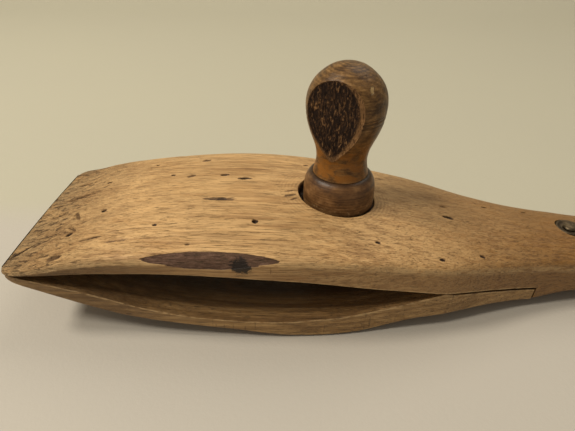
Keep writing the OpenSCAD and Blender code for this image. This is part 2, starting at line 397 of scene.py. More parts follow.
jawPlan = dict(
    # colours
    pale=(0.68, 0.43, 0.19),
    honey=(0.52, 0.30, 0.12),
    brown=(0.235, 0.12, 0.042),
    handle=(0.205, 0.090, 0.014),
    grey=(0.30, 0.215, 0.115),
    gripBrown=(0.125, 0.05, 0.012),
    noseSide=(0.10, 0.05, 0.016),
    tear=(0.12, 0.06, 0.022),
    pore=(0.10, 0.05, 0.018),
    # the stain and dark colours also paint shade into the recess round the collar
    stain=(0.105, 0.052, 0.02),
    dark=(0.028, 0.013, 0.006),
    knot=(0.014, 0.008, 0.005),
    bark=(0.085, 0.038, 0.024),
    barkLight=(0.15, 0.08, 0.055),
    wornEdge=(0.66, 0.45, 0.22),
    grainLength=64.0,
    grainWidth=0.75,
    ringWidth=4.6,
    bumpDepth=2.0,
    # shape, in mm
    noseColumns=[0, 0.6, 1.4, 2.4],
    rows=96,
    sideSteps=[0, 0.03, 0.08, 0.18, 0.34, 0.52, 0.68, 0.82, 0.92, 0.97, 1],
    recessFloor=54.8,
    recessShift=-1.1,
    recessRadii=[14.5, 16.5, 18.6, 20.6, 21.8, 22.25, 22.4, 22.4, 22.8, 23.7],
    calmRadii=(23.8, 34),    # the worn surface starts again outside the recess
    spotRadius=8.7,
    hollow=0.45,       # depth of the uneven hand-shaved surface
    tornReach=72,      # how far the torn grain runs back from the nose
    rubbing=4,         # how many times the long edges are eased
    buttLength=22,
    levelOut=332,      # where the side levels have evened out behind the shoulder
    barkStrip=dict(at=110.5, half=35, inward=58.2, height=57.0, width=4.3, cut=0.75),
    knotSpot=dict(at=(125.8, 52.2), size=(5.6, 4.8)),
)


def makeJawWood():
    look = jawPlan
    material, tree, shader, place = startMaterial("agedBeech")
    figure = useGroup(tree, figureGroup, {"Place": place, "Length": look["grainLength"],
                                          "Width": look["grainWidth"],
                                          "Ring": look["ringWidth"]})
    wear = useGroup(tree, wearGroup, {"Place": place})
    parts = separated(tree, place)
    side, torn, pitAndShadeField, knotField = (field(tree, name)
                                       for name in ("side", "torn", "pitAndShade", "knot"))
    figured = summed(tree, (figure["Fibre"], 0.62), (figure["Blotch"], 0.38))
    colour = colourRamp(tree, figured, [(0.37, look["brown"]), (0.46, look["honey"]),
                                        (0.53, look["pale"]), (0.63, look["honey"])])
    # browner in long streaks, towards the handle and down the sides
    longStreak = noiseOf(tree, scaled(tree, place, 80, 1.5, 1.5), 4, 0.6, 0.15)
    streakShade = calc(tree, "MULTIPLY", remap(tree, longStreak, 0.5, 0.68),
                       remap(tree, figure["Blotch"], 0.35, 0.6, 0.3, 0.75))
    toHandle = remap(tree, parts[0], -70.0, 85.0, 0.0, 0.85)
    sideShade = calc(tree, "MULTIPLY", remap(tree, side, 0.2, 0.9, 0.0, 0.72),
                     remap(tree, figure["Fibre"], 0.35, 0.62, 1.0, 0.55))
    noseSide = calc(tree, "MULTIPLY", side, remap(tree, parts[0], -120.0, -175.0, 0.0, 0.62))
    # brown streaks rubbed into the near edge of the handle
    gripNoise = noiseOf(tree, scaled(tree, place, 38, 1.6, 1.6), 5, 0.7)
    gripNear = calc(tree, "MULTIPLY", remap(tree, parts[0], 5.0, 40.0),
                    remap(tree, parts[1], 4.0, -16.0, 0.25, 1.0))
    grip = calc(tree, "MULTIPLY", remap(tree, gripNoise, 0.47, 0.62), gripNear)
    # weathered nose with torn grain
    weathered = calc(tree, "MULTIPLY", remap(tree, parts[0], -212.0, -235.0, 0.12, 0.55),
                     remap(tree, wear["Grime"], 0.40, 0.56))
    tearNoise = noiseOf(tree, scaled(tree, place, 7, 2.3, 2.3), 5, 0.68, 0.3)
    tearEdge = calc(tree, "ADD", tearNoise, calc(tree, "MULTIPLY_ADD", torn, 0.20, -0.125))
    tears = remap(tree, tearEdge, 0.62, 0.71)
    # handling: grime in the low grain, scratches, specks and pores
    grimy = remap(tree, wear["Grime"], 0.52, 0.68, 0.0, 0.55)
    pores = calc(tree, "MULTIPLY", figure["Pores"],
                 remap(tree, figure["Blotch"], 0.4, 0.62, 0.08, 0.5))
    worn = calc(tree, "MULTIPLY", field(tree, "edge"), remap(tree, tearNoise, 0.36, 0.55))
    # the knob has rubbed rings round its recess
    fromScrew = distanceOf(tree, calc(tree, "SUBTRACT", parts[0],
                                      screwAt - wholeLength / 2 - 1.0), parts[1])
    wobble = noiseOf(tree, scaled(tree, place, 9, 5, 7), 3, 0.6)
    rubLines = wavy(tree, summed(tree, (fromScrew, 3.1), (wobble, 2.2)))
    rubNear = calc(tree, "MULTIPLY", remap(tree, fromScrew, 43.0, 24.0),
                   remap(tree, parts[2], 40.0, 48.0))
    rub = calc(tree, "MULTIPLY", calc(tree, "MULTIPLY", rubNear, rubLines),
               remap(tree, wear["Grime"], 0.4, 0.6))
    # deep marks with a ragged outline, and painted shade on the floor and lower wall of the recess round the
    # collar
    pitEdge = calc(tree, "MULTIPLY_ADD", noiseOf(tree, scaled(tree, place, 5, 1.1, 1.1), 4, 0.7),
                   1.3, -0.65)
    pitAndShade = calc(tree, "MULTIPLY", calc(tree, "ADD", pitAndShadeField, pitEdge),
               remap(tree, pitAndShadeField, 0.02, 0.2))
    # the strip of bark and the knot on its edge
    raggedEdge = calc(tree, "MULTIPLY_ADD", noiseOf(tree, scaled(tree, place, 8, 3, 3), 4, 0.6),
                      0.25, -0.125)
    bark = remap(tree, calc(tree, "ADD", field(tree, "wane"), raggedEdge), -0.03, 0.05)
    barkFibre = noiseOf(tree, scaled(tree, place, 5, 1.1, 1.1), 5, 0.7)
    barkColour = colourRamp(tree, barkFibre, [(0.35, look["dark"]), (0.5, look["bark"]),
                                              (0.66, look["barkLight"])])
    knotNoise = noiseOf(tree, scaled(tree, place, 3.2, 2.2, 2.2), 5, 0.72, 0.8)
    knotEdge = calc(tree, "ADD", knotField, calc(tree, "MULTIPLY_ADD", knotNoise, 2.2, -1.1))
    knot = calc(tree, "MULTIPLY", remap(tree, knotEdge, 0.25, 0.6),
                remap(tree, knotField, 0.02, 0.2))
    colour = layered(
        tree, colour, (streakShade, 1, look["brown"]), (figure["Rings"], 0.22, look["brown"]),
        (toHandle, 1, look["handle"]), (sideShade, 1, look["brown"]),
        (noseSide, 1, look["noseSide"]), (grip, 0.62, look["gripBrown"]),
        (weathered, 1, look["grey"]), (tears, 0.7, look["tear"]),
        (remap(tree, tearEdge, 0.70, 0.75), 0.8, look["dark"]), (grimy, 1, look["brown"]),
        (pores, 1, look["pore"]), (wear["Scratch"], 0.35, look["brown"]),
        (wear["Specks"], 0.85, look["dark"]), (worn, 0.75, look["wornEdge"]),
        (rub, 0.55, look["brown"]), (remap(tree, pitAndShade, 0.15, 0.5), 0.85, look["stain"]),
        (remap(tree, pitAndShade, 0.6, 0.85), 0.95, look["dark"]), (bark, 0.93, barkColour),
        (knot, 0.95, look["knot"]))
    roughness = calc(tree, "MULTIPLY_ADD", wear["Grime"], 0.35, 0.36)
    roughness = calc(tree, "MULTIPLY_ADD", bark, 0.12, roughness)
    roughness = calc(tree, "MULTIPLY_ADD", torn, 0.16, roughness, clamp=True)
    height = summed(tree, (figure["Fibre"], 0.32), (wear["Dents"], 0.30),
                    (figure["Pores"], -0.14), (wear["Scratch"], -0.10), (tears, -0.40),
                    (calc(tree, "MULTIPLY", torn, tearNoise), -2.1), (rub, -0.05),
                    (calc(tree, "MULTIPLY", bark, barkFibre), 0.55))
    finishMaterial(tree, shader, colour, roughness, height, look["bumpDepth"],
                   **{"Specular IOR Level": 0.33})
    return material


# marks on the top face: distance from the nose, offset, length, width, depth, turn, darkness
topMarks = [
    (109.5, 15.6, 4.4, 2.0, 1.6, 5, 1.7), (122.3, 10.9, 7.0, 1.9, 1.5, 3, 1.7),
    (109.5, -11.9, 17, 2.2, 0.9, -2, 0.75), (111, -11.8, 5, 1.7, 1.2, 0, 1.7),
    (131.3, -31.3, 2.6, 2.6, 2.0, 0, 1.7), (94, 40.8, 5.5, 3.4, 0.8, 20, 0.62),
    (76.5, 55.0, 4, 2, 1.0, 0, 1.4), (44.7, -15.7, 2.4, 2.0, 1.4, 0, 1.5),
    (31.0, -32.8, 3.0, 2.2, 1.4, 30, 1.4), (29.2, -49.6, 7, 3.4, 0.8, 10, 0.6),
    (243, -7.4, 5.5, 1.9, 1.2, -12, 1.5), (272.7, 12.1, 3.2, 1.5, 0.9, 0, 1.15),
    (243.6, 3.8, 4.5, 1.1, 0.8, -8, 0.7), (230.6, -42.3, 2.6, 1.6, 1.0, 0, 1.4),
    (255.6, -34.5, 2.8, 1.3, 0.9, 0, 1.25), (196.2, -38, 2.4, 1.5, 0.9, 0, 1.4),
    (35.2, 19.7, 2.6, 1.8, 1.2, 0, 1.25), (76.9, 18.1, 2.2, 1.7, 1.2, 0, 1.4),
    (88.8, 15.6, 5, 2.6, 0.8, 24, 0.6), (78.4, -33.1, 2, 1.5, 1.0, 0, 1.25),
    (28.7, -15.3, 9, 1.8, 1.0, -58, 0.5), (30.4, -27.5, 8, 1.7, 1.0, -40, 0.45),
    (45.3, -39.1, 13, 1.2, 0.8, 8, 0.6), (98.5, -48.2, 2.2, 1.3, 0.8, 0, 0.7),
    (5.8, -38.0, 12.5, 1.3, 1.2, 43, 1.5), (150.5, -6.0, 8, 2.2, 0.3, 24, 0.6),
    (152.5, -9.5, 6, 1.4, 0.3, 30, 0.55), (149, -2.0, 5, 1.2, 0.3, 15, 0.5),
    (21, 8, 16, 2.2, 0.7, 6, 0.4), (17, 28, 13, 2.4, 0.7, -5, 0.4),
    (13, -9, 12, 2.0, 0.7, 4, 0.42), (60, -43, 12, 1.8, 0.6, 3, 0.4),
    (300, 14, 3.4, 1.2, 0.8, 0, 1.15), (398, -9, 5, 1.5, 0.8, 6, 0.7),
    (432, 11, 3.5, 1.6, 0.9, -9, 1.15), (160, 36, 3, 1.6, 0.9, 0, 1.15),
    (208, 31, 5, 1.3, 0.7, 8, 0.7), (62, 37, 2, 1.7, 1.1, 0, 1.4),
]


def markAt(x, y):
    # depth in mm and darkness of the marks at a point of the top face
    deep, dark = 0.0, 0.0
    for markX, markY, length, width, depth, turn, shade in topMarks:
        dx, dy = x - markX, y - markY
        if abs(dx) > length or abs(dy) > length:
            continue
        c, s = math.cos(math.radians(turn)), math.sin(math.radians(turn))
        near = ((dx * c + dy * s) / (length / 2)) ** 2 + ((dy * c - dx * s) / (width / 2)) ** 2
        if near < 2:
            share = soft(2 - near, 0, 1.5)
            deep = max(deep, depth * share)
            dark = max(dark, shade * share)
    return deep, dark


def handleShare(x):
    return min(1, max(0, (x - 225) / 95))


def crownHeight(x, y):
    w = along(halfWidth, x)
    k = min(1, abs(y) / w)
    low, high = along(arris, x), along(ridge, x)
    return low + (high - low) * (1 - k * k) ** ((2 - 1.2 * handleShare(x)) / 2)


def rollRadius(x):
    # how far the worn long edges roll over from the top to the sides
    flat = along(arris, x) - along(mouthRoof, min(x, flexAt))
    return min(3.8 - 2.2 * handleShare(x), 0.75 * max(0.4, flat))


def rolledTop(x, y):
    r = rollRadius(x)
    inward = max(0, along(halfWidth, x) - abs(y))
    if inward >= r:
        return crownHeight(x, y)
    return crownHeight(x, y) - r + math.sqrt(r * r - (r - inward) ** 2)


def undersideHeight(x, y):
    if x <= shoulderAt:
        if x <= flexAt:
            return along(mouthRoof, x)
        start = along(mouthRoof, flexAt)
        return start + (seatHeight - start) * (x - flexAt) / (shoulderAt - flexAt)
    w = along(halfWidth, x)
    k = min(1, abs(y) / w)
    edge, base = along(lowerEdge, x), max(0, along(handleBase, x))
    return edge - (edge - base) * (1 - k * k) ** ((0.35 + 0.3 * handleShare(x)) / 2)


def rowShare(row, rows):
    t = 2 * row / rows - 1
    return 0.4 * t + 0.6 * math.sin(t * math.pi / 2)


def jawColumns():
    butt = jawPlan["buttLength"]
    places = jawPlan["noseColumns"] + spread(3.4, 63.4, 54) + spread(63.4, 133.2, 50)
    places += spread(133.2, 222.8, 64) + spread(222.8, shoulderAt, 33)
    places += [shoulderAt] + spread(shoulderAt + 0.25, 323, 36) + spread(323, 357, 45)
    places += spread(357, 380, 30) + spread(380, wholeLength - butt, 34)
    places += [wholeLength - butt * (1 - math.sin(math.pi / 2 * s)) for s in spread(0, 1, 13)]
    return places + [wholeLength]


def cellNear(places, x, rows):
    return min(range(len(places) - 1), key=lambda i: abs(places[i] - x)), rows // 2


def jawSpots(places, rows):
    # the recess on the top, the screw hole underneath, and a seat for each rove
    shape = jawPlan
    screwCell = cellNear(places, screwAt, rows)
    topSpot = dict(cell=screwCell, at=(screwAt, 0), first=6, calm=28, step=1.5,
                   shift=shape["recessShift"], radii=shape["recessRadii"])
    underSpot = dict(cell=screwCell, at=(screwAt, 0), first=6, calm=24, step=1.55,
                     radii=[14.5, 15.2, 16.6])
    r = shape["spotRadius"]
    radii = [r * i / 10 for i in range(10)] + [r - 0.12, r, r + 0.5]
    seats = [dict(cell=cellNear(places, x, rows), at=(x, 0), first=0, calm=22, step=0.8,
                  radii=radii) for x in rivetsAt]
    return topSpot, underSpot, seats


def barkShare(x, y, z):
    # where the log ran out of the plank: 1 along the middle of the strip, 0 on its outline
    strip = jawPlan["barkStrip"]
    lens = 1 - ((x - strip["at"]) / strip["half"]) ** 2
    if lens <= 0 or y >= 0:
        return -1.0
    across = ((z - strip["height"]) + (y + strip["inward"])) / math.sqrt(2) + 0.25
    return max(-1.0, 1 - abs(across) / (strip["width"] * lens ** 0.8 + 0.001))


def roundedButt(x, y, z):
    past = (x - wholeLength + jawPlan["buttLength"]) / jawPlan["buttLength"]
    if past <= 0:
        return y, z
    shrink = math.sqrt(1 - (past * 0.93) ** 2)
    middle = (along(lowerEdge, x) + along(arris, x)) / 2
    return y * shrink, middle + (z - middle) * shrink


def roveSeat(x, y, rivetX, ring, onTop):
    # flat seats for the roves, cut into the crown and into the underside
    if onTop:
        rim = crownHeight(x, y) - 0.1
        seat = along(ridge, rivetX + 8.3) - 0.5
        return min(rim, seat + (0.2 if ring == 10 else 0)) if ring <= 10 else rim
    rim = undersideHeight(max(x, shoulderAt + 1), y)
    seat = max(0, along(handleBase, rivetX)) + 3.6
    return max(rim, seat) if ring < 11 else rim


def openScrewHole(bm, opened):
    bmesh.ops.delete(bm, geom=opened, context="VERTS")
    around = [e for e in bm.edges if e.is_boundary]
    return bmesh.ops.bridge_loops(bm, edges=around)["edges"]


def easeEdges(bm, verts, times):
    for turn in range(times):
        bmesh.ops.smooth_vert(bm, verts=verts, factor=0.5, use_axis_x=False,
                              use_axis_y=True, use_axis_z=True)


def buildJawAndHandle(material):
    shape = jawPlan
    places = jawColumns()
    rows, steps = shape["rows"], shape["sideSteps"]
    columns, levels = len(places) - 1, len(steps) - 1
    bm = gridBlock(columns, rows, levels)
    topSpot, underSpot, seats = jawSpots(places, rows)
    fields = {name: bm.verts.layers.float.new(name)
              for name in ("side", "torn", "edge", "pitAndShade", "wane", "knot", "seated")}
    opened = []
    for v in bm.verts:
        column, row, level = (round(c) for c in v.co)
        x = places[column]
        y = along(halfWidth, x) * rowShare(row, rows)
        onSide, onTop = row in (0, rows), level == levels
        onFace = level in (0, levels)
        ring = seatRing = None
        if onFace:
            spot = topSpot if onTop else underSpot
            if ringOf(column, row, spot["cell"])[0] < spot["first"]:
                opened.append(v)
            x, y, ring = ringed(x, y, (column, row), spot)
            for seat in seats:
                if seatRing is None and abs(column - seat["cell"][0]) < seat["calm"]:
                    x, y, seatRing = ringed(x, y, (column, row), seat)
                    rivetX = seat["at"][0]
        w = along(halfWidth, x)
        top, under = rolledTop(x, y), undersideHeight(x, y)
        if places[column] > shoulderAt:
            under = undersideHeight(max(x, shoulderAt + 0.001), y)
        share = steps[level]
        z = under + (top - under) * share
        onWall = onSide and 0 < level < levels
        if onWall and shoulderAt < places[column] < shape["levelOut"]:
            # side levels line up with the seat at the shoulder and even out further back
            meet = seatHeight + (top - seatHeight) * share
            if level < 2:
                meet = under + (seatHeight + (top - seatHeight) * steps[2] - under) * level / 2
            z = meet + (z - meet) * soft(places[column], shoulderAt, shape["levelOut"])
        # uneven shaved surface, rougher at the nose and true round the recess
        torn = soft(shape["tornReach"] - x, 0, 60)
        calmed = calmRoundRecess(x, y) if onFace else 1.0
        worn = shavedDepth(x, y, z, torn) * calmed
        if onTop:
            z -= worn
            if ring is None and seatRing is None:
                deep, v[fields["pitAndShade"]] = markAt(x, y)
                z -= deep
        elif level == 0:
            z += 0.4 * worn
        if onSide:
            y -= math.copysign(0.7 * worn, y)
        if onTop and ring is not None:
            # the floor and lower wall of the recess take the mark colours: painted shade in the gap round
            # the collar
            v[fields["pitAndShade"]] = 1.0 if ring < 7 else (0.5 if ring == 7 else 0.0)
            rim, floor = crownHeight(x, y), shape["recessFloor"]
            z = [floor, floor, floor, floor, floor + 0.02, floor + 0.45, (floor + rim) / 2,
                 rim - 0.9, rim - 0.28, rim - 0.05][ring]
        elif level == 0 and ring == 0:
            z += 0.6
        if ring is not None or seatRing is not None:
            v[fields["seated"]] = 1.0
        if seatRing is not None:
            z = roveSeat(x, y, rivetX, seatRing, onTop)
        y, z = roundedButt(x, y, z)
        wane = barkShare(x, y, z)
        v[fields["wane"]] = wane
        if wane > 0 and (onTop or row == 0):
            cut = shape["barkStrip"]["cut"] * soft(wane, 0, 0.5)
            y += cut * 0.6
            z -= cut * 0.7
        knotX, knotZ = shape["knotSpot"]["at"]
        knotLong, knotTall = shape["knotSpot"]["size"]
        if y < -40 and level > 0:
            v[fields["knot"]] = max(0.0, 1.25 - math.hypot((x - knotX) / knotLong,
                                                           (z - knotZ) / knotTall))
        v[fields["torn"]] = torn if level > 0 else 0.3 * torn
        nearSide = soft(abs(y) / w, 0.95, 1.0) * 0.6
        v[fields["side"]] = 1.0 if (onWall or level == 0) else nearSide
        lip = 1.0 if onSide and level in (0, 1) and x < shoulderAt else 0.0
        nearArris = soft(abs(y) / w, 0.965, 1.0) if onTop else 0.0
        if onSide and level >= levels - 2:
            nearArris = 1.0 if onTop else 0.5
        v[fields["edge"]] = max(lip, 0.55 * nearArris)
        v.co = (x, y, z)
    eased = [v for v in bm.verts if v[fields["edge"]] > 0.3 and not 290 < v.co.x < 302
             and v.co.x < wholeLength - 1]
    easeEdges(bm, eased, shape["rubbing"])
    openScrewHole(bm, opened)
    bm.normal_update()
    refineMarks(bm, fields)
    return newPiece(bm, "jawAndHandle", material, 34)


def calmRoundRecess(x, y):
    return soft(math.hypot(x - screwAt - jawPlan["recessShift"], y), *jawPlan["calmRadii"])


def shavedDepth(x, y, z, torn):
    # how much an uneven, hand-shaved surface lies under the true one
    rolling = 0.5 + 0.5 * noise.noise(Vector((x / 34, y / 15, z / 30)))
    chatter = 0.5 + 0.5 * noise.noise(Vector((x / 11, y / 4.5, 7.7)))
    return jawPlan["hollow"] * (rolling + 0.35 * chatter * (1 + 1.6 * torn))


def refineMarks(bm, fields):
    # finer cells under the small marks, so that they keep their own outline
    pitAndShade = fields["pitAndShade"]
    chosen = [f for f in bm.faces
              if f.normal.z > 0.4 and any(v[pitAndShade] > 0.02 for v in f.verts)
              and all(v[fields["seated"]] < 0.01 for v in f.verts)]
    edges = list({e for f in chosen for e in f.edges})
    cut = bmesh.ops.subdivide_edges(bm, edges=edges, cuts=2, use_grid_fill=True)
    fresh = {g for g in cut["geom_inner"] if isinstance(g, bmesh.types.BMVert)}
    print("marks refined with", len(fresh), "points from", len(chosen), "faces")
    for v in fresh:
        x, y = v.co.x, v.co.y
        crown = rolledTop(x, y)
        if crown - v.co.z > 3.5 or v[fields["seated"]] > 0.01:
            continue
        deep, v[pitAndShade] = markAt(x, y)
        torn = soft(jawPlan["tornReach"] - x, 0, 60)
        v.co.z = crown - shavedDepth(x, y, crown, torn) * calmRoundRecess(x, y) - deep


springPlan = dict(
    # colours
    pale=(0.50, 0.31, 0.13),
    honey=(0.34, 0.195, 0.07),
    brown=(0.15, 0.076, 0.025),
    noseSide=(0.085, 0.042, 0.014),
    dark=(0.026, 0.012, 0.005),
    unlit=(0.030, 0.013, 0.004),
    wornEdge=(0.60, 0.41, 0.20),
    grainLength=45.0,
    grainWidth=0.8,
    bumpDepth=1.9,
    # shape, in mm
    start=0.4,
    end=295.2,
    rows=72,
    sideSteps=[0, 0.05, 0.14, 0.3, 0.5, 0.7, 0.86, 0.95, 1],
    inset=0.8,
    lipGap=0.35,
    seatGap=1.45,       # the dark joint line behind the mouth
    seatInset=0.2,
    crown=2.4,
    screwRadius=11.2,
    threadDepth=2.4,
    threadCuts=26,
    pitch=8.0,
    tongue=dict(length=84, width=26, thick=9, height=13.5, lap=10, bevel=0.8),
)


def makeSpringWood():
    look = springPlan
    material, tree, shader, place = startMaterial("springBeech")
    figure = useGroup(tree, figureGroup, {
        "Place": place, "Length": look["grainLength"], "Width": look["grainWidth"],
        "Ring": 3.4, "Sway": 3.0, "Pith Y": 40.0, "Pith Z": -120.0})
    wear = useGroup(tree, wearGroup, {"Place": place, "Size": 1.15})
    figured = summed(tree, (figure["Fibre"], 0.7), (figure["Blotch"], 0.3))
    colour = colourRamp(tree, figured, [(0.34, look["brown"]), (0.46, look["honey"]),
                                        (0.58, look["pale"]), (0.7, look["honey"])])
    inside = field(tree, "inside")
    parts = separated(tree, place)
    # the bottom of the mouth is streaked, and darker across its middle with the unlit colour: painted shadow
    # of the upper jaw falling into the mouth
    mouthShadow = calc(tree, "MULTIPLY", remap(tree, calc(tree, "ABSOLUTE", parts[1]), 46.0, 30.0),
                      remap(tree, parts[2], 30.0, 22.0, 0.95, 0.9))
    innerStreak = remap(tree, noiseOf(tree, scaled(tree, place, 110, 3.2, 30), 4, 0.65),
                        0.42, 0.6, 0.15, 0.75)
    noseSide = calc(tree, "MULTIPLY", remap(tree, parts[0], -115.0, -175.0, 0.0, 0.5),
                    remap(tree, wear["Grime"], 0.36, 0.56, 0.5, 1.0))
    rub = noiseOf(tree, scaled(tree, place, 6, 1.5, 1.5), 5, 0.7)
    worn = calc(tree, "MULTIPLY", field(tree, "edge"), remap(tree, rub, 0.42, 0.58))
    colour = layered(
        tree, colour, (figure["Rings"], 0.4, look["brown"]),
        (inside, innerStreak, look["brown"]), (inside, mouthShadow, look["unlit"]),
        (remap(tree, wear["Grime"], 0.48, 0.64, 0.0, 0.6), 1, look["brown"]),
        (figure["Pores"], 0.45, look["dark"]), (wear["Scratch"], 0.4, look["dark"]),
        (wear["Specks"], 0.85, look["dark"]), (noseSide, 1, look["noseSide"]),
        (worn, 0.6, look["wornEdge"]))
    roughness = calc(tree, "MULTIPLY_ADD", wear["Grime"], 0.35, 0.38, clamp=True)
    height = summed(tree, (figure["Fibre"], 0.38), (wear["Dents"], 0.3),
                    (figure["Pores"], -0.16), (wear["Scratch"], -0.12))
    finishMaterial(tree, shader, colour, roughness, height, look["bumpDepth"],
                   **{"Specular IOR Level": 0.4})
    return material


def springTop(x):
    lipGap, seatGap = springPlan["lipGap"], springPlan["seatGap"]
    if x < flexAt:
        return along(leafTop, x) - lipGap
    return undersideHeight(x, 0) - lipGap - (seatGap - lipGap) * soft(x, flexAt, flexAt + 12)


def threadReach(x, y, z, fullness, core, depth, pitch):
    # radius of a right-hand wooden thread in the direction of a point
    phase = z / pitch - math.atan2(y, x) / (2 * math.pi)
    crest = fullness - abs(phase - math.floor(phase) - 0.5) * 5
    return core + depth * soft(crest)


def buildSpringJaw(material):
    shape = springPlan
    places = [shape["start"], 1.2, 2.4, 4] + spread(6, 133, 60) + spread(133, 223, 54)
    places += spread(223, shape["end"], 34) + [shape["end"]]
    rows, steps = shape["rows"], shape["sideSteps"]
    columns, levels = len(places) - 1, len(steps) - 1
    bm = gridBlock(columns, rows, levels)
    cell = cellNear(places, screwAt, rows)
    spot = dict(cell=cell, at=(screwAt, 0), first=4, calm=20, step=1.8,
                radii=[13.4, 14.4, 16.0])
    fields = {name: bm.verts.layers.float.new(name) for name in ("inside", "edge")}
    opened = []
    for v in bm.verts:
        column, row, level = (round(c) for c in v.co)
        x = places[column]
        inset = shape["inset"] + (shape["seatInset"] - shape["inset"]) * soft(x, 222, 238)
        y = (along(halfWidth, x) - inset) * rowShare(row, rows)
        ringIndex = None
        if level in (0, levels):
            if ringOf(column, row, cell)[0] < spot["first"]:
                opened.append(v)
            x, y, ringIndex = ringed(x, y, (column, row), spot)
        w = along(halfWidth, x) - inset
        k = min(1, abs(y) / w)
        top, low = springTop(x), along(leafBase, x)
        low = max(0, low + min(shape["crown"], 0.3 * (top - low)) * k * k)
        z = low + (top - low) * steps[level]
        rolling = 0.5 + 0.5 * noise.noise(Vector((x / 30, y / 13, z / 12 + 40)))
        if row in (0, rows):
            y -= math.copysign(0.55 * rolling, y)
        if level == levels and ringIndex is None:
            z -= 0.4 * rolling * (1 if x < flexAt else 0.2)
        if ringIndex == 0 and level == levels:
            z -= 0.5
        v[fields["inside"]] = 1.0 if level == levels and row not in (0, rows) else 0.0
        onLip = row in (0, rows) and level >= levels - 1
        v[fields["edge"]] = 1.0 if onLip else (0.6 if row in (0, rows) and level == 0 else 0.0)
        v.co = (x, y, z)
    eased = [v for v in bm.verts if v[fields["edge"]] > 0.3 and 3 < v.co.x < 290]
    easeEdges(bm, eased, 3)
    walls = openScrewHole(bm, opened)
    upright = [e for e in walls if abs(e.verts[0].co.z - e.verts[1].co.z) > 3]
    cut = bmesh.ops.subdivide_edges(bm, edges=upright, cuts=shape["threadCuts"],
                                    use_grid_fill=True)
    inner = {v for v in cut["geom_inner"] if isinstance(v, bmesh.types.BMVert)}
    for v in inner:
        away = v.co.x - screwAt
        r = threadReach(away, v.co.y, v.co.z, 2.0, shape["screwRadius"],
                        shape["threadDepth"], shape["pitch"])
        turn = math.atan2(v.co.y, away)
        v.co.x = screwAt + r * math.cos(turn)
        v.co.y = r * math.sin(turn)
    addTongue(bm)
    return newPiece(bm, "springJaw", material, 34)


def addTongue(bm):
    # the tongue that the two rivets hold inside the handle
    tongue = springPlan["tongue"]
    made = bmesh.ops.create_cube(bm, size=1)["verts"]
    bmesh.ops.scale(bm, verts=made, vec=(tongue["length"], tongue["width"], tongue["thick"]))
    middle = shoulderAt - tongue["lap"] + tongue["length"] / 2
    bmesh.ops.translate(bm, verts=made, vec=(middle, 0, tongue["height"]))
    edges = list({e for v in made for e in v.link_edges})
    bmesh.ops.bevel(bm, geom=edges, offset=tongue["bevel"], segments=2, profile=0.5,
                    affect="EDGES", material=-1, clamp_overlap=True)


screwPlan = dict(
    # colours
    light=(0.34, 0.19, 0.068),
    mid=(0.15, 0.076, 0.023),
    deep=(0.055, 0.025, 0.007),
    amber=(0.225, 0.084, 0.010),
    chip=(0.42, 0.28, 0.12),
    thread=(0.30, 0.19, 0.085),
    facetDark=(0.016, 0.006, 0.002),
    facetMid=(0.075, 0.034, 0.013),
    facetFibre=(0.34, 0.18, 0.07),
    rimDark=(0.10, 0.045, 0.016),
    bumpDepth=1.3,
    # shape, in mm
    radius=21.3,
    bottom=75.6,
    top=136.0,
    outline=[[0, 0.735], [0.05, 0.70], [0.12, 0.672], [0.17, 0.67], [0.25, 0.71], [0.33, 0.79],
             [0.41, 0.88], [0.51, 0.965], [0.61, 1], [0.69, 0.995], [0.77, 0.945],
             [0.85, 0.82], [0.92, 0.62], [0.97, 0.4], [1, 0.14]],
    bands=[(108.3, 0.35), (110.4, 0.5), (112.0, 0.3)],    # dark turned lines: height, half width
    chipAt=(9.6, -14.9, 126.6),
    shank=12.5,
    shankEnd=48.8,
    screwEnd=1.5,
    threadDepth=2.4,
    threadSteps=76,
    pitch=8.0,
    facetReach=14.45,    # at the middle of the head
    facetTurn=28.5,
    facetLean=0.2,
    facetBelow=84,       # the flat never reaches under this height
    middleHeight=105,
    steps=112,
    relief=0.5,
)


